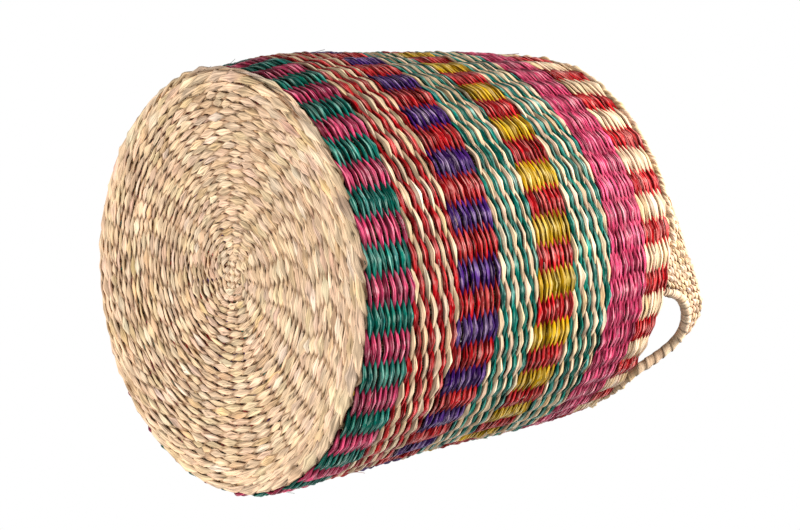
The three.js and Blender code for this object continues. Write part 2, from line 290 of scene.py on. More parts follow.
def twine(line, outward, side, turns, colours, closed=True, swell=strand_swell,
          slip=strand_slip, width=strand_width, thickness=strand_thickness, sides=8,
          loose=1.0, pinch=0.42, taper=0.8, reach=float_reach, tip_unshaded=1.0, lit_from=0.7,
          tilt=0.12, undyed_tuck=natural_tuck, behind=0.15):
    """Two strands twisted round a line. With phase = pi * (turns + k), strand k follows
    line + outward * swell * bent(phase) + side * slip * leaning(phase). Its width is
    width * (1 - pinch * (1 - bent^2) ^ taper); its hidden side is less pinched, and wider by
    the share behind, so that no light comes through where two strands cross. Crest is
    its depth as a share of the deepest, and lowered near where it crosses the other strand.
    The colour is darkened where the crest is low: painted shade in the tucks."""
    floats = int(np.ceil(turns.max())) + 1 if not closed else int(round(turns[-1] - turns[0] + 0.5))
    strands = []
    for number, colour in enumerate(colours):
        own = rng.normal(size=(floats, 6)).clip(-2, 2) * loose
        tone = float_colours(colour, floats)
        vary = eased(own, turns)
        phase = np.pi * (turns + number)
        fold = bent(phase, reach)
        crossing = 1 - fold**2
        free = 1 - held * crossing
        out = swell * fold * (1 + swell_spread * vary[:, 0]) + offset_spread * vary[:, 1] * free
        slide = slip * leaning(phase, reach) + slip_spread * (vary[:, 2] + vary[:, 3]) * free
        path = line + outward * out[:, None] + side * slide[:, None]
        roll = tilt + roll_spread * vary[:, 4]
        facing = outward * np.cos(roll)[:, None] + side * np.sin(roll)[:, None]
        pinched = pinch * np.interp(fold, [-0.2, 0.0], [hidden_pinch, 1.0]) * crossing**taper
        wide = width * (1 - pinched) * (1 + width_spread * vary[:, 5] * free)
        wide = wide * (1 + behind * np.clip(-fold / 0.3, 0, 1))
        flat = thickness * (1 + crossing_bulge * crossing)
        folds = rng.normal(size=(floats, sides)).clip(-1.6, 1.6)
        crease = 1 + crease_spread * eased(folds, turns)
        tones = eased(tone, turns)
        strand = ribbon(path, facing, wide, flat, tones, closed, sides, crease)
        depth = np.abs(((strand["grid"] - line[:, None]) * outward[:, None]).sum(-1))
        clear = tip_unshaded + (1 - tip_unshaded) * np.clip(np.abs(fold) / shaded_tip_length, 0, 1)
        strand["crest"] = np.clip(depth / (swell + thickness / 2), 0, 1) * clear[:, None]
        # painted shade in the tucks, lighter on undyed grass
        tuck = undyed_tuck if colour is natural else dyed_tuck
        strand["colour"] = strand["colour"] * painted_shade_at(strand["crest"], tuck, lit_from)
        # scuffs on undyed crests are weaker: they are partly wear and partly painted highlight
        if colour is natural:
            strand["crest"] = strand["crest"] * undyed_wear_and_sheen
        strands.append(strand)
    return strands


def float_colours(colour, count):
    """Each float's own colour: a little lighter or darker, warmer or colder, or faded.
    Natural grass also has golden and rosy floats among the others."""
    spread, fading = 0.2, 0.16
    if colour is natural:
        tints = np.array([natural, straw, pale, rosy, golden])
        colour = tints[rng.choice(len(tints), size=count, p=[0.74, 0.12, 0.08, 0.04, 0.02])]
        colour = natural * 0.5 + colour * 0.5
        spread, fading = 0.09, 0.1
    dark = np.exp(spread * rng.normal(size=(count, 1)).clip(-2, 2))
    warm = 1 + 0.04 * rng.normal(size=(count, 3)).clip(-2, 2) * np.array([0.5, 0.8, 1.0])
    fade = np.clip(fading * (rng.normal(size=(count, 1)) - 0.6), 0, 0.28)
    faded = 0.35 * pale + 0.65 * np.sqrt(colour)
    return (colour * dark * warm) * (1 - fade) + faded * fade


# %% [markdown]
# ## From strands to a mesh
#
# A piece holds many strands, and each strand is a grid: rings of points along a path. All
# faces are worked out at once as arrays. Two UV maps are written with them. One is measured
# along and around each strand, for the fibres. The other gives each strand its own lane on
# the sheet, so that the finish can be baked without overlaps.

# %% Put strands into one mesh
fold_sides = (0, 1, 2, 3, 4)  # the outer half of eight sides, where creases stay sharp


def make_strands(name, strands, material, nodes):
    """One object from many ribbons. Corner (i, j) of a ribbon joins ring i and side j."""
    corners, fibre, lane, caps = [], [], [], []
    start = 0
    for number, strand in enumerate(strands):
        rings, sides = strand["grid"].shape[:2]
        spans = rings if strand["closed"] else rings - 1
        i, j = np.meshgrid(np.arange(spans), np.arange(sides), indexing="ij")
        ring = np.stack([i, i + 1, i + 1, i], -1).reshape(-1, 4)
        spoke = np.stack([j, j, j + 1, j + 1], -1).reshape(-1, 4)
        corners.append(start + (ring % rings) * sides + spoke % sides)
        length = strand["length"][ring]
        fibre.append(np.stack([length, spoke / sides + number], -1).reshape(-1, 2))
        share = np.stack([ring / spans, (number + 0.04 + 0.92 * spoke / sides) / len(strands)], -1)
        lane.append(share.reshape(-1, 2))
        if not strand["closed"]:
            first = start + np.arange(sides)
            caps += [first, first[::-1] + (rings - 1) * sides]
        start += rings * sides
    points = np.concatenate([strand["grid"].reshape(-1, 3) for strand in strands]) * MM
    tones = np.concatenate([strand["colour"].reshape(-1, 3) for strand in strands])
    corners = np.concatenate(corners)
    loops = corners.reshape(-1)
    totals = np.full(len(corners), 4)
    if caps:
        loops = np.concatenate([loops, np.concatenate(caps)])
        totals = np.concatenate([totals, [len(cap) for cap in caps]])
    mesh = bpy.data.meshes.new(name)
    mesh.vertices.add(len(points))
    mesh.vertices.foreach_set("co", points.astype(np.float32).ravel())
    mesh.loops.add(len(loops))
    mesh.loops.foreach_set("vertex_index", loops.astype(np.int32))
    mesh.polygons.add(len(totals))
    first_loops = np.concatenate([[0], np.cumsum(totals)[:-1]])
    mesh.polygons.foreach_set("loop_start", first_loops.astype(np.int32))
    mesh.polygons.foreach_set("use_smooth", np.ones(len(totals), bool))
    mesh.update(calc_edges=True)
    sizes = [strand["grid"].shape for strand in strands]
    spokes = np.concatenate([np.tile(np.arange(sides), rings) for rings, sides, _ in sizes])
    ends = np.empty(2 * len(mesh.edges), np.int32)
    mesh.edges.foreach_get("vertices", ends)
    first, second = spokes[ends.reshape(-1, 2)].T
    folded = (first == second) & np.isin(first, fold_sides)
    layer = mesh.attributes.new("sharp_edge", "BOOLEAN", "EDGE")
    layer.data.foreach_set("value", folded)
    spare = len(loops) - 4 * len(corners)
    for layer_name, parts in (("fibre", fibre), ("OFBake", lane)):
        layer = mesh.uv_layers.new(name=layer_name)
        flat = np.concatenate(parts + [np.zeros((spare, 2))])
        layer.uv.foreach_set("vector", flat.astype(np.float32).ravel())
    # the colour attribute holds the dye with painted shade multiplied in
    layer = mesh.color_attributes.new("dye_and_shade", "FLOAT_COLOR", "POINT")
    layer.data.foreach_set("color", np.c_[tones, np.ones(len(tones))].astype(np.float32).ravel())
    for layer_name in ("crest", "edge"):
        layer = mesh.attributes.new(layer_name, "FLOAT", "POINT")
        values = np.concatenate([strand[layer_name].ravel() for strand in strands])
        layer.data.foreach_set("value", values.astype(np.float32))
    mesh.materials.append(material)
    piece = bpy.data.objects.new(name, mesh)
    scene.collection.objects.link(piece)
    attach(piece, "root")
    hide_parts(*nodes)
    print(f"{name}: {len(strands)} strands, {len(loops) - 2 * len(totals)} triangles")


# %% [markdown]
# ## The finish of a strand
#
# Dried grass is a flattened stem: long fibres run its whole length, with thin dark creases.
# Pale scuffs lie on the crests: partly wear where the dye hasn't taken, partly a painted
# highlight for the gloss. The dye comes from the mesh as a colour attribute, with painted
# shade in the tucks already multiplied in, and the fibres are noise stretched along the
# strand's own UV map. Both edges of a blade are darker, as painted shade for the gap beside
# it. The surface has a low, waxy gloss.

# %% Grass material
def grass(name, streak=0.6, scuff_and_sheen=0.8, roughness=0.34, edge_painted_shade=0.5, split=0.35,
          faint=0.6, blades=6):
    """Dye attribute, times fibre streaks, times the dark lines where a blade has split (where
    |noise - 0.5| is nearly 0), times painted shade towards both edges of a blade, mixed on the
    crests with scuffs of a faded dye, its square root, which are partly wear and partly painted
    highlight; bump from the same fibres. Undyed grass is bright, and its lines are fainter.
    Blades is how many times the lines may come round a strand."""
    material = bpy.data.materials.new(name)
    material.use_nodes = True
    nodes, links = material.node_tree.nodes, material.node_tree.links
    shader = nodes["Principled BSDF"]

    def node(kind, **values):
        made = nodes.new(kind)
        for key, value in values.items():
            if key in made.inputs:
                made.inputs[key].default_value = value
            else:
                setattr(made, key, value)
        return made

    def noise(across, along, detail):
        """Noise on the fibre map: cells of 1/along mm by 1/across of the way round."""
        places = node("ShaderNodeMapping", Scale=(along, across, 1))
        links.new(fibre.outputs["UV"], places.inputs["Vector"])
        made = node("ShaderNodeTexNoise", Scale=1.0, Detail=detail, Roughness=0.6)
        made.noise_dimensions = "2D"
        links.new(places.outputs["Vector"], made.inputs["Vector"])
        return made.outputs["Fac"]

    def ramp(source, low, high, to_low, to_high):
        """Straight line from (low, to_low) to (high, to_high), held at both ends."""
        limits = {"From Min": low, "From Max": high, "To Min": to_low, "To Max": to_high}
        made = node("ShaderNodeMapRange", **limits)
        links.new(source, made.inputs["Value"])
        return made.outputs["Result"]

    def times(first, second):
        made = node("ShaderNodeMath", operation="MULTIPLY")
        links.new(first, made.inputs[0])
        links.new(second, made.inputs[1])
        return made.outputs["Value"]

    fibre = node("ShaderNodeUVMap", uv_map="fibre")
    dye_and_shade, crest, edge = (node("ShaderNodeAttribute", attribute_name=layer)
                        for layer in ("dye_and_shade", "crest", "edge"))
    fine = noise(17, 0.028, 1)
    broad = noise(4, 0.05, 1)
    patches = noise(4, 0.11, 2)

    lines = node("ShaderNodeMix", data_type="RGBA", blend_type="MULTIPLY")
    brightness = node("ShaderNodeRGBToBW")
    links.new(dye_and_shade.outputs["Color"], brightness.inputs["Color"])
    links.new(ramp(brightness.outputs["Val"], 0.3, 0.55, 1.0, faint), lines.inputs["Factor"])
    links.new(dye_and_shade.outputs["Color"], lines.inputs["A"])
    streaks = times(ramp(fine, 0.38, 0.54, 1 - streak, 1.12),
                    ramp(broad, 0.36, 0.60, 1 - 0.8 * streak, 1.16))
    splits = node("ShaderNodeMath", operation="SUBTRACT")
    splits.inputs[1].default_value = 0.5
    links.new(noise(blades, 0.02, 0), splits.inputs[0])
    beside = node("ShaderNodeMath", operation="ABSOLUTE")
    links.new(splits.outputs["Value"], beside.inputs[0])
    parted = times(streaks, ramp(beside.outputs["Value"], 0.006, 0.03, split, 1.0))
    # painted shade towards both edges of a blade, for the gap beside it
    shaded = times(parted, ramp(edge.outputs["Fac"], 0.74, 0.92, 1.0, edge_painted_shade))
    links.new(shaded, lines.inputs["B"])

    worn_and_sheen = node("ShaderNodeMix", data_type="RGBA")
    links.new(lines.outputs["Result"], worn_and_sheen.inputs["A"])
    faded = node("ShaderNodeGamma", Gamma=0.5)
    links.new(dye_and_shade.outputs["Color"], faded.inputs["Color"])
    bleached_sheen = node("ShaderNodeMix", data_type="RGBA")
    bleached_sheen.inputs["Factor"].default_value = 0.3
    links.new(faded.outputs["Color"], bleached_sheen.inputs["A"])
    bleached_sheen.inputs["B"].default_value = (*pale, 1)
    links.new(bleached_sheen.outputs["Result"], worn_and_sheen.inputs["B"])
    # scuffs on the crests: partly wear, partly painted highlight
    rub_and_sheen = times(ramp(fine, 0.51, 0.545, 0.0, 1.0), ramp(patches, 0.40, 0.60, 0.0, scuff_and_sheen))
    links.new(times(rub_and_sheen, ramp(crest.outputs["Fac"], 0.55, 0.95, 0.0, 1.0)), worn_and_sheen.inputs["Factor"])
    links.new(worn_and_sheen.outputs["Result"], shader.inputs["Base Color"])

    links.new(ramp(patches, 0.3, 0.7, roughness - 0.08, roughness + 0.12), shader.inputs["Roughness"])
    shader.inputs["Specular IOR Level"].default_value = 0.03

    bump = node("ShaderNodeBump", Strength=0.35, Distance=0.0006)
    links.new(fine, bump.inputs["Height"])
    links.new(bump.outputs["Normal"], shader.inputs["Normal"])
    return material


# %% [markdown]
# ## The colour bands
#
# The wall has eight bands. Where each pair always starts with the same colour, the floats of
# one colour stand above each other and make upright checks. Where the two colours swap from
# row to row, they climb one stake per row and make slanted stripes. The rows go all the way
# round as closed rings: the real ones are a spiral, with a step that doesn't show.

# %% The bands
# CAD node, material slot, rows, the two colours of a pair, and whether they swap
bands = [
    ("wall_band_1_teal_pink", "teal_pink_grass", 8, teal, pink, False),
    ("wall_band_2_red_natural", "red_natural_grass", 8, red, natural, True),
    ("wall_band_3_purple_red", "purple_red_grass", 8, red, purple, False),
    ("wall_band_4_teal_natural", "teal_natural_grass", 8, teal, natural, True),
    ("wall_band_5_yellow_red", "yellow_red_grass", 8, yellow, red, False),
    ("wall_band_6_teal_natural", "teal_natural_grass", 8, teal, natural, True),
    ("wall_band_7_pink", "pink_grass", 9, pink, pink, False),
    ("wall_band_8_red_natural", "deep_red_natural_grass", 7, natural, red, False),
]
print(f"{sum(band[2] for band in bands)} rows in {len(bands)} bands")

# %% Where the stakes stand in the wall
wall_turns = (np.arange(leg_count)[:, None] + kink_steps).ravel()
wide_side = np.radians(-25.4)
stretch = np.radians(3.9)
stake_lean = np.radians(-6.2)
lean_start = 30.0
first_leg = np.radians(2.8)


def by_hand(angle):
    """The legs aren't spaced evenly: angle + stretch * sin(angle - wide side) + first leg."""
    return angle + stretch * np.sin(angle - wide_side) + first_leg


def wall_angle(turns, height):
    """Leg number 0 stands half a step from the middle of handle a. Higher up the legs lean:
    lean * share of the height ^ 1.35."""
    share = np.clip((height - lean_start) / (rim_height - lean_start), 0, 1)
    return by_hand((turns + 0.5) * leg_step) + stake_lean * share**1.35


# %% How the rows dip and climb
dip_angle = np.radians(-106.7)
dip_depth = 14.0
dip_height = node_box("wall_band_7_pink")[1][2]
foot_angle = np.radians(-101.7)
foot_rise = 8.0
climb_angle = np.radians(13.3)
climb_heights = [0.0, 150.0, 290.0, dip_height, rim_height]
climb_rises = [1.0, 4.0, 9.0, 4.5, 0.0]
hand_dip = 9.0


def lobe(angle, middle, power):
    """One wave round the basket, 1 at its middle: ((1 + cos(angle - middle)) / 2) ^ power."""
    return ((1 + np.cos(angle - middle)) / 2) ** power


def row_dip(angle, height):
    """Rows aren't level. How far they lie below their own height: on one side most of all in
    the last bands, and at the rim under each hand; near the foot, and on the side of handle a,
    they climb instead."""
    rising = (height / dip_height) ** 1.7
    falling = (rim_height - height) / (rim_height - dip_height)
    dip = dip_depth * lobe(angle, dip_angle, 5) * np.minimum(rising, falling)
    under_hand = np.clip((height - dip_height) / (rim_height - dip_height), 0, 1)
    dip = dip + hand_dip * under_hand * np.abs(np.cos(angle)) ** 8
    climb = np.interp(height, climb_heights, climb_rises) * lobe(angle, climb_angle, 10)
    foot = foot_rise * lobe(angle, foot_angle, 20) * np.clip(1.5 - height / 110, 0, 1)
    return dip - climb - foot


# %% Loose fibres
stray = np.random.default_rng(7)
stray_count = 14
stray_width, stray_thickness = 0.8, 0.45
stray_height = 0.9
stray_margin = 3


def stray_fibres(low, high, colours):
    """Loose split fibres: each leaves a float and lies nearly along its row,
    lifted by lift * share^2, and drifts by drift * share^1.5."""
    fibres = []
    share = np.linspace(0, 1, 10)
    for number in range(stray_count):
        start, lift, drift = stray.uniform(0, 2 * np.pi), stray.uniform(0.8, 3.6), stray.normal() * 3.5
        length = stray.uniform(9, 26) * stray.choice([-1, 1])
        height = np.maximum(stray.uniform(low, high) + drift * share**1.5, low + stray_margin)
        angle = start + share * length / mid_radius
        line, outward, _ = weave_surface(angle, along_for_height(height - row_dip(angle, height)))
        line = line + outward * (strand_swell + stray_height + lift * share**2)[:, None]
        tone = np.sqrt(colours[number % len(colours)]) * 0.5 + pale * 0.4
        fibres.append(ribbon(line, outward, stray_width * (1.1 - share), stray_thickness,
                             np.tile(tone, (len(line), 1)), False, sides=4))
    return fibres


# %% Weave the wall
finishes = {}
for name, slot, rows, even, odd, swaps in bands:
    low, high = node_box(name)[0][2], node_box(name)[1][2]
    pitch = (high - low) / rows
    strands = []
    for row in range(rows):
        level = low + (row + 0.5) * pitch
        angle = wall_angle(wall_turns, level)
        drift = 0.5 * np.sin(3 * angle + 0.4 * row) * (0.3 + rng.random())
        height = level + drift - row_dip(angle, level)
        rise = row_dip(angle, level - pitch / 2) - row_dip(angle, level + pitch / 2)
        spread = np.maximum(1 + 1.2 * rise / pitch, 0.98)
        line, outward, side = weave_surface(angle, along_for_height(height))
        pair = (even, odd) if not (swaps and row % 2) else (odd, even)
        size = spread * pitch / row_pitch
        strands += twine(line, outward, side, wall_turns, pair, width=strand_width * size,
                         slip=strand_slip * size)
    strands += stray_fibres(low, high, (even, odd))
    if slot not in finishes:
        finishes[slot] = grass(slot)
    make_strands(name + "_weave", strands, finishes[slot], [name])


# %% [markdown]
# ## The base
#
# The base starts as a small plaited cross. Rows of twining go round it, and as the circle
# grows the weaver adds stakes, so that the floats keep about the same length. A stake that
# has just been added pushes its neighbours apart little by little: each gets a share of the
# circle that grows with the distance from where it was added.

# %% Where the stakes stand in the base
foot_lengths = [130, 32, 98, 130, 10, 61, 130, 20, 78, 130, 4, 113, 46]
first_ring = 36.0
pair_ring = 20.0
spread_length = 26.0
new_share = 0.4
foot_radius = np.maximum(base_radius - np.tile(foot_lengths, 2), first_ring)
leg_start = np.repeat(foot_radius, 2)


def legs_at(radius):
    """Angles of the stakes' legs that a row at this radius goes round. Share = new + (1 - new)
    * (radius - start) / spread; angle = sum of the shares so far. Within pair_ring both legs
    of a stake go as one."""
    since = (max(radius, first_ring) - leg_start) / spread_length
    share = np.where(since >= 0, np.clip(new_share + (1 - new_share) * since, 0, 1), 0.0)
    share[leg_start <= first_ring] = 1.0
    if radius < pair_ring:
        share[1::2] = 0.0
    ends = np.cumsum(share) - share / 2
    angles = 2 * np.pi * ends / share.sum()
    return angles[share > 0]


def row_angle(legs, turns):
    """Angle of a row at a number of half-turns: straight between one leg and the next."""
    count = len(legs)
    numbers = np.arange(-1, count + 2)
    places = np.concatenate([[legs[-1] - 2 * np.pi], legs, legs[:2] + 2 * np.pi])
    return np.interp(turns, numbers, places)


# %% Weave the base
base_width = 7.2
# the crossings of the base get dark triangles of painted shade, and the tucks a lighter painted shade
base_weave = {"swell": 1.4, "slip": 1.0, "thickness": 1.7, "reach": 1.66, "pinch": 0.62,
              "taper": 1.6, "tip_unshaded": 0.0, "lit_from": 0.36, "tilt": 0.2, "undyed_tuck": 0.25}
inner_radius = 58.0  # within it the floats are short, and fewer rings make them
inner_steps = np.array([-0.5, -0.3, -0.08, 0.08, 0.3])


def base_row(along, width, climb=0.0, **weave):
    """One row of the base at a distance along the profile. Climb is the share of the rise at
    the foot of the wall that the row follows. What would lie lower than the floor that the
    basket stands on is pressed flat: height = the larger of height and 0."""
    legs = legs_at(along) if along < base_radius else (np.arange(leg_count) + 0.5) * leg_step
    steps = kink_steps if along > inner_radius else inner_steps
    turns = (np.arange(len(legs))[:, None] + steps).ravel()
    angle = by_hand(row_angle(legs, turns))
    wander = 0.45 * np.sin(4 * angle + along) + 0.3 * np.sin(9 * angle - 2 * along)
    wander = wander - climb * row_dip(angle, band_foot)
    line, outward, side = weave_surface(angle, along + wander)
    float_length = 2 * np.pi * along / len(legs)
    weave["swell"] = weave["swell"] * min(1, float_length / 14)
    weave["slip"] = weave["slip"] * min(1, float_length / 10)
    strands = twine(line, outward, side, turns, (natural, natural), width=width, **weave)
    for strand in strands:
        strand["grid"][..., 2] = np.maximum(strand["grid"][..., 2], 0)
    return strands


band_foot = node_box("wall_band_1_teal_pink")[0][2]
base_rows = int(base_radius // row_pitch)
base_pitch = base_radius / base_rows
strands = []
for row in range(2, base_rows):
    strands += base_row((row + 0.5) * base_pitch, base_width, **base_weave)

# the plaited cross in the middle: four ribbons each way, over one and under the next, where
# height = swell * cos(pi * distance / gap), with the sign changed from ribbon to ribbon
cross_gap = 4.6
cross_count = 4
cross_turn = np.radians(20)
cross_swell = 1.0
cross_tuck = 0.3
cross_length = 13.0
cross_sink = 1.4
cross_bow = 0.016
cross_width, cross_thickness = 4.4, 1.5
reach = np.linspace(-cross_length, cross_length, 49)
for way in (0, 1):
    for number in range(cross_count):
        beside = cross_gap * (number - (cross_count - 1) / 2)
        wave = np.cos(np.pi * (reach / cross_gap + (cross_count - 1) / 2) + np.pi * (number + way))
        height = base_rise + base_half_thickness - cross_sink - cross_swell * wave
        height = height + cross_bow * reach**2
        turn = cross_turn + way * np.pi / 2
        across = reach * np.cos(turn) - beside * np.sin(turn)
        along = reach * np.sin(turn) + beside * np.cos(turn)
        path = np.c_[across + start_x, along + start_y, height]
        down = np.tile([0.0, 0.0, -1.0], (len(path), 1))
        tone = np.repeat(float_colours(natural, 1), len(path), axis=0)
        strand = ribbon(path, down, cross_width, cross_thickness, tone, False)
        # painted shade where a ribbon dips under the one across it
        strand["crest"] = np.broadcast_to((0.5 + 0.5 * wave)[:, None], strand["crest"].shape)
        strand["colour"] = strand["colour"] * painted_shade_at(strand["crest"], cross_tuck, 0.6)
        strands.append(strand)

finishes["natural_grass"] = grass("natural_grass", streak=0.34, scuff_and_sheen=0.3, edge_painted_shade=0.72, faint=0.9)
make_strands("base_weave_coil", strands, finishes["natural_grass"], ["base_weave"])

# %% Weave the rows that turn the corner
edge_length = along_for_height(band_foot) - base_radius
edge_rows = 3
strands = []
for row in range(edge_rows):
    share = (row + 0.5) / edge_rows
    strands += base_row(base_radius + share * edge_length, strand_width * (1.15 + 0.15 * row),
                        climb=share, swell=1.9, slip=strand_slip, lit_from=0.45)
split_grass = grass("split_natural_grass", streak=0.3, scuff_and_sheen=0.3, edge_painted_shade=0.7, faint=1.0, blades=12)
make_strands("base_edge_weave", strands, split_grass, ["base_edge_rows"])


# %% [markdown]
# ## The stakes
#
# Hardly anything of them shows, but light that falls between the strands meets them. Each
# is one strand that comes out through the base, climbs the wall, turns over in the rim and
# goes back beside itself. The fold is narrow, so that the border hides it. Their straw is
# darkened as painted shade, and on the wall the legs are drawn wide, so that what shows
# between the strands is dark.

# %% Stakes
def leg_path(number, top):
    """One leg from its foot in the base to a height on the wall, on the weave surface: its
    points, which way is out, and its width."""
    start = leg_start[number]
    base = np.linspace(start, base_radius, 20)
    angles = []
    for radius in base:
        present = np.flatnonzero(leg_start <= radius + 1e-6)
        angles.append(legs_at(radius)[np.searchsorted(present, number)])
    corner = np.linspace(base_radius + 2, along_for_height(band_foot), 8)
    rest = np.concatenate([corner, np.linspace(corner[-1] + 9, along_for_height(top), 40)])
    climbed = rest - along_for_height(0)
    angles = np.concatenate([by_hand(np.array(angles)), wall_angle(number, climbed)])
    width = np.interp(climbed, [0, 30], [foot_width, leg_width])
    width = np.concatenate([np.full(len(base), foot_width), width])
    point, outward, _ = weave_surface(angles, np.concatenate([base, rest]))
    return point, outward, width


fold_cover = 5.2
fold_rise = fold_cover - 1.8
fold_width = 3.4
foot_width = 3.0
stake_thickness = 1.2
# stakes are darkened as painted shade, for the dark inside of the weave
stake_painted_shade = 0.45
finishes["stake_grass"] = grass("stake_grass", streak=0.6)
for stake in range(leg_count // 2):
    name = f"stake_{stake + 1:02d}"
    lowered = row_dip(wall_angle(2 * stake + 0.5, rim_height), rim_height)
    top = node_box(name)[1][2] - fold_cover - lowered
    (up, up_out, up_width), (down, down_out, down_width) = (
        leg_path(2 * stake + leg, top) for leg in (0, 1))
    over = (up[-1] + down[-1]) / 2 + np.array([0, 0, fold_rise])
    path = np.concatenate([up, [over], down[::-1]])
    facing = np.concatenate([up_out, up_out[-1:], down_out[::-1]])
    up_width[-1] = down_width[-1] = (leg_width + fold_width) / 2
    width = np.concatenate([up_width, [fold_width], down_width[::-1]])
    tone = np.repeat(float_colours(straw, 1) * stake_painted_shade, len(path), axis=0)
    strand = ribbon(path, facing, width, stake_thickness, tone, False, sides=6)
    make_strands(name + "_grass", [strand], finishes["stake_grass"], [name])


# %% [markdown]
# ## The rim and the handles
#
# The border is a rope of folded stake ends that runs from handle to handle. Over each hand
# opening it widens into a plaited strap, whose rows follow its outer edge and end one by one
# at the core. The core is a bundle of ends wound closely with one flat ribbon.

# %% Curves of a handle
core_points = np.array([(-47, -9), (-46, 0), (-40.5, 19), (-30, 33), (-15.5, 42.5), (0, 46),
                        (14, 41.5), (26, 30.5), (36, 18), (46, 8), (60, 4), (80, 3)], float)
core_outside = 5.0
strap_rise = node_box("handle_a_strap")[1][2] - border_top
strap_middle = -15.0
strap_spread_left, strap_spread_right = 59.0, 54.0
strap_reach = 135.0
strap_tail = 26.0
strap_foot = 4.0
strap_stop = core_points[-3, 0]  # past it the core runs level, just above the rim


def smooth_curve(points, count):
    """Points at even distances on a Catmull-Rom curve: 0.5 * (2 b + (c - a) s +
    (2 a - 5 b + 4 c - d) s^2 + (3 b - a - 3 c + d) s^3) between b and c."""
    ends = np.concatenate([[2 * points[0] - points[1]], points, [2 * points[-1] - points[-2]]])
    a, b, c, d = (ends[k:len(ends) - 3 + k, None] for k in range(4))
    s = np.linspace(0, 1, 20, endpoint=False)[None, :, None]
    curve = 0.5 * (2 * b + (c - a) * s + (2 * a - 5 * b + 4 * c - d) * s**2
                   + (3 * b - a - 3 * c + d) * s**3)
    curve = np.concatenate([curve.reshape(-1, 2), points[-1:]])
    length = np.concatenate([[0], np.cumsum(np.linalg.norm(np.diff(curve, axis=0), axis=1))])
    even = np.linspace(0, length[-1], count)
    return np.stack([np.interp(even, length, curve[:, k]) for k in (0, 1)], -1), length[-1]


core_line, core_length = smooth_curve(core_points, 400)
core_line = core_line + np.array([0, rim_height])
core_ahead = unit(np.gradient(core_line, axis=0))
core_edge = core_line + np.stack([-core_ahead[:, 1], core_ahead[:, 0]], -1) * core_outside
print(f"handle core {core_length:.0f} mm long, {core_line[:, 1].max() - rim_height:.0f} mm above the rim")


def outer_edge(along):
    """Height of the outer edge: border + rise * exp(-(distance from the middle / spread)^1.8),
    which runs out over the tail."""
    away = along - strap_middle
    spread = np.where(away < 0, strap_spread_left, strap_spread_right)
    out = np.clip((strap_reach + along) / strap_tail, 0, 1)
    return border_top + strap_rise * np.exp(-(np.abs(away) / spread) ** 1.8) * out


def inner_edge(along):
    """Height of the lower edge of the strap: the rim, or the outside of the bound core."""
    over = core_edge[:, 1] > rim_height
    order = np.argsort(core_edge[over, 0])
    return np.interp(along, core_edge[over, 0][order], core_edge[over, 1][order],
                     left=rim_height - strap_foot)


def on_wall(along, height, middle):
    """A place above the rim: distance from the middle of a handle, and height."""
    angle = middle + along / mid_radius
    radius = mid_radius + uneven(angle, np.full_like(height, rim_height))
    point = np.stack([radius * np.cos(angle), radius * np.sin(angle), height], -1)
    outward = np.stack([np.cos(angle), np.sin(angle), 0 * angle], -1)
    return point, outward


# %% Straps, bindings and cores
strap_pitch = 4.3
strap_float = 8.6
strap_strand = 5.3
strap_taper = 12.0
strap_layers = 11
shortest_row = 24
tuck_under = 2.2
handle_tone = 0.84


def strap_rows(middle):
    """Rows at a constant distance from the outer edge, kept where they clear the core."""
    strands = []
    along = np.linspace(-strap_reach, strap_reach, 600)
    edge = np.stack([along, outer_edge(along)], -1)
    slope = unit(np.gradient(edge, axis=0))
    inward = np.stack([slope[:, 1], -slope[:, 0]], -1)
    for row in range(strap_layers):
        place = edge + inward * strap_pitch * (row + 0.5)
        clear = place[:, 1] - inner_edge(place[:, 0]) > -tuck_under
        clear = clear & (place[:, 0] < strap_stop)
        ends = np.flatnonzero(np.diff(np.concatenate([[0], clear.astype(int), [0]])))
        for first, last in ends.reshape(-1, 2):
            if last - first >= shortest_row:
                strands += strap_row(place[first:last], middle)
    return strands


def strap_row(place, middle):
    """One row of the strap along a stretch of (distance, height) places."""
    steps = np.linalg.norm(np.diff(place, axis=0), axis=1)
    length = np.concatenate([[0], np.cumsum(steps)])
    floats = max(2, round(length[-1] / strap_float))
    turns = np.linspace(0, floats, floats * 6 + 1)
    at = np.stack([np.interp(turns / floats * length[-1], length, place[:, k]) for k in (0, 1)], -1)
    point, outward = on_wall(at[:, 0], at[:, 1], middle)
    ahead = unit(np.gradient(point, axis=0))
    side = np.cross(outward, ahead)
    from_end = np.minimum(turns, floats - turns) * strap_float
    width = strap_strand * np.clip(0.4 + 0.6 * from_end / strap_taper, 0, 1)
    # the strap's floats get painted shade at their tips and in the tucks
    strands = twine(point, outward, side, turns + 0.5, (natural, natural), closed=False,
                    swell=1.6, slip=1.1, width=width, thickness=2.0, loose=0.7, pinch=0.6,
                    taper=1.2, reach=1.8, tip_unshaded=0.2, lit_from=0.5, undyed_tuck=0.3)
    for strand in strands:
        strand["colour"] = strand["colour"] * handle_tone
    return strands


binding_turns = 17
binding_overlap = 1.3
binding_height = 0.75
binding_thickness = 0.9
core_radius = 3.4
foot_taper = 26.0


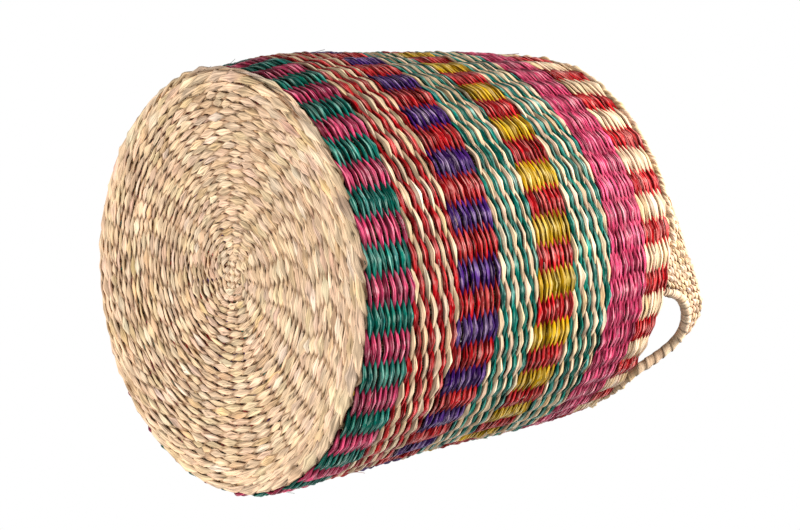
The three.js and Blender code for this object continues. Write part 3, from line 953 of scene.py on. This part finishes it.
def bound_core(middle):
    """The core as one rod, and the ribbon wound round it: centre + radius * (outward * cos
    + upward * sin), with the ribbon's leading edge lifted over the turn before it. Both grow
    thin over foot_taper at the feet, where they are pushed into the wall."""
    share = np.linspace(0, 1, 40 * binding_turns)
    place = np.stack([np.interp(share, np.linspace(0, 1, len(core_line)), core_line[:, k])
                      for k in (0, 1)], -1)
    centre, outward = on_wall(place[:, 0], place[:, 1], middle)
    ahead = unit(np.gradient(centre, axis=0))
    upward = np.cross(outward, ahead)
    wind = 2 * np.pi * binding_turns * share
    away = outward * np.cos(wind)[:, None] + upward * np.sin(wind)[:, None]
    thin = 0.55 + 0.45 * np.clip(np.minimum(share, 1 - share) * core_length / foot_taper, 0, 1)
    path = centre + away * (thin * (core_radius + binding_height))[:, None]
    normal = unit(away - 0.06 * ahead)
    tone = eased(float_colours(natural, binding_turns + 2), wind / (2 * np.pi))
    tone = (0.5 * tone + 0.5 * natural) * handle_tone
    wide = core_length / binding_turns * binding_overlap
    ring = ribbon(path, normal, wide, binding_thickness, tone, False)
    # painted shade along both edges of the wound ribbon, where one turn lies on the next
    ring["colour"] = ring["colour"] * np.interp(ring["edge"], [0.7, 1.0], [1.0, 0.4])[..., None]
    line, facing = centre[::16], outward[::16]
    # the core under the binding is darkened with the same painted shade
    rod_tone = np.repeat(float_colours(straw, 1), len(line), axis=0) * stake_painted_shade
    rod_size = 2 * core_radius * thin[::16] - 0.4
    return ring, ribbon(line, facing, rod_size, rod_size, rod_tone, False, sides=10)


grass_natural = grass("smooth_natural_grass", streak=0.2, scuff_and_sheen=0.2, edge_painted_shade=0.75, split=0.6)
handles = (("a", 0.0), ("b", np.pi))
for letter, middle in handles:
    ring, rod = bound_core(middle)
    parts = {"binding": ("wound_ribbon", [ring]), "core": ("core_bundle", [rod]),
             "strap": ("plaited_strap", strap_rows(middle))}
    for part, (look, strands) in parts.items():
        make_strands(f"handle_{letter}_{look}", strands, grass_natural,
                     [f"handle_{letter}_{part}"])

# %% Rim border
rope_start = 66.0  # from the middle of one handle to short of the other's strap
rope_end = np.pi * mid_radius - 88.0
rope_lay = 10.5
rope_radius = 4.0
rope_drop = 1.6
rope_tuck = 0.15
rope_unevenness = 0.16
rope_sides = 12


def rope(line, outward, side, turns):
    """Two bundles twisted round a line: line + radius / 2 * (outward * cos + side * sin)."""
    strands = []
    for number in (0, 1):
        floats = int(turns.max()) + 2
        vary = eased(rng.normal(size=(floats, 3)).clip(-2, 2), turns)
        phase = np.pi * (turns + number)
        away = outward * np.cos(phase)[:, None] + side * np.sin(phase)[:, None]
        radius = rope_radius * (1 + rope_unevenness * vary[:, :1])
        path = line + away * radius * 0.5 + side * 0.5 * vary[:, 1:2]
        tone = eased(float_colours(natural, floats), turns)
        folds = rng.normal(size=(floats, rope_sides)).clip(-1.6, 1.6)
        folds = 1 + 0.2 * eased(folds, turns)
        wide, flat = radius[:, 0] * 1.5, radius[:, 0] * 1.15
        strand = ribbon(path, away, wide, flat, tone, False, rope_sides, folds)
        # painted shade deep in the twist of the rope, lighter on its crests
        depth = np.linalg.norm(strand["grid"] - line[:, None], axis=-1)
        strand["crest"] = np.clip(depth / rope_radius, 0, 1)
        shade = painted_shade_at(strand["crest"], rope_tuck, 0.85)
        strand["colour"] = strand["colour"] * shade * handle_tone
        strands.append(strand)
    return strands


for letter, middle in handles:
    floats = round((rope_end - rope_start) / rope_lay)
    turns = np.linspace(0, floats, floats * 8 + 1)
    along = rope_start + turns / floats * (rope_end - rope_start)
    height = np.full_like(along, (rim_height + border_top) / 2 - rope_drop)
    point, outward = on_wall(along, height, middle)
    side = np.tile([0.0, 0.0, 1.0], (len(point), 1))
    make_strands(f"rim_border_{letter}_rope", rope(point, outward, side, turns), grass_natural,
                 [f"rim_border_{letter}"])

# %% [markdown]
# ## Camera, light and floor
#
# The photograph looks at the base from below and to one side, with the basket lying down, so
# the camera is under the floor's level and turned on its side. The floor is only there for
# views from above: from below it can't be seen, and it keeps no light from the base.

# %% Camera, in metres
camera_turn = Matrix.Rotation(np.radians(-3.2), 3, "Z")
camera_place = camera_turn @ Vector((0.89081, -0.58646, -0.79889))
camera_right = camera_turn @ Vector((0.6410, -0.2683, 0.7191)).normalized()
camera_ahead = camera_turn @ Vector((-0.6029, 0.4037, 0.6881)).normalized()
focal_length = 72.0

lens = bpy.data.cameras.new("camera")
lens.lens = focal_length
lens.sensor_width = 36.0
lens.clip_start, lens.clip_end = 0.05, 50.0
camera = bpy.data.objects.new("camera", lens)
camera_up = camera_right.cross(camera_ahead)
axes = Matrix((camera_right, camera_up, -camera_ahead)).transposed()
camera.matrix_world = Matrix.Translation(camera_place) @ axes.to_4x4()
scene.collection.objects.link(camera)
scene.camera = camera
print("camera at", tuple(round(value, 3) for value in camera_place), "m")


# %% Lamps and world
def lamp(name, place, target, size, watts):
    """A square soft light that faces a point."""
    light = bpy.data.lights.new(name, "AREA")
    light.size = size
    light.energy = watts
    made = bpy.data.objects.new(name, light)
    made.location = place
    made.rotation_euler = (Vector(target) - Vector(place)).to_track_quat("-Z", "Y").to_euler()
    made.visible_camera = False
    scene.collection.objects.link(made)


heart = Vector((0.0, 0.0, 0.2))


def seen_from_camera(right, up, ahead, distance):
    """A place that lies in a direction given as the camera sees it."""
    direction = camera_right * right + camera_up * up + camera_ahead * ahead
    return heart + direction.normalized() * distance


lamp("wall_side", seen_from_camera(0.96, 0.26, 0.0, 1.3), heart, 0.6, 36.0)
lamp("base_side", seen_from_camera(-0.8, -0.3, -0.5, 2.2), heart, 1.1, 41.0)
lamp("back", (0.3, 0.9, 1.9), heart, 1.6, 10.0)

# white wherever it is looked at, and dimmer as a light
ambient = 0.42
world = bpy.data.worlds.new("studio")
world.use_nodes = True
scene.world = world
nodes, links = world.node_tree.nodes, world.node_tree.links
background = nodes["Background"]
light_path = nodes.new("ShaderNodeLightPath")
seen = light_path.outputs["Is Camera Ray"]
for ray in ("Is Transmission Ray", "Is Glossy Ray"):
    either = nodes.new("ShaderNodeMath")
    either.operation = "MAXIMUM"
    links.new(seen, either.inputs[0])
    links.new(light_path.outputs[ray], either.inputs[1])
    seen = either.outputs[0]
strength = nodes.new("ShaderNodeMapRange")
strength.inputs["To Min"].default_value = ambient
strength.inputs["To Max"].default_value = 1.0
links.new(seen, strength.inputs["Value"])
background.inputs["Color"].default_value = (1, 1, 1, 1)
links.new(strength.outputs["Result"], background.inputs["Strength"])

# %% Floor
floor_material = bpy.data.materials.new("pale_floor")
floor_material.use_nodes = True
nodes, links = floor_material.node_tree.nodes, floor_material.node_tree.links
shader = nodes["Principled BSDF"]
shader.inputs["Base Color"].default_value = (0.86, 0.86, 0.85, 1)
shader.inputs["Roughness"].default_value = 0.9
clear = nodes.new("ShaderNodeBsdfTransparent")
mix = nodes.new("ShaderNodeMixShader")
side_seen = nodes.new("ShaderNodeNewGeometry")
links.new(side_seen.outputs["Backfacing"], mix.inputs["Fac"])
links.new(shader.outputs["BSDF"], mix.inputs[1])
links.new(clear.outputs["BSDF"], mix.inputs[2])
links.new(mix.outputs["Shader"], nodes["Material Output"].inputs["Surface"])
floor_mesh = bpy.data.meshes.new("floor")
half = 4.0
corners = [(-half, -half, 0), (half, -half, 0), (half, half, 0), (-half, half, 0)]
floor_mesh.from_pydata(corners, [], [(0, 1, 2, 3)])
floor_mesh.materials.append(floor_material)
floor = bpy.data.objects.new("floor", floor_mesh)
scene.collection.objects.link(floor)
floor.visible_shadow = False
floor.visible_diffuse = False
floor.visible_glossy = False

# %% Finish
scene.view_settings.view_transform = "Standard"
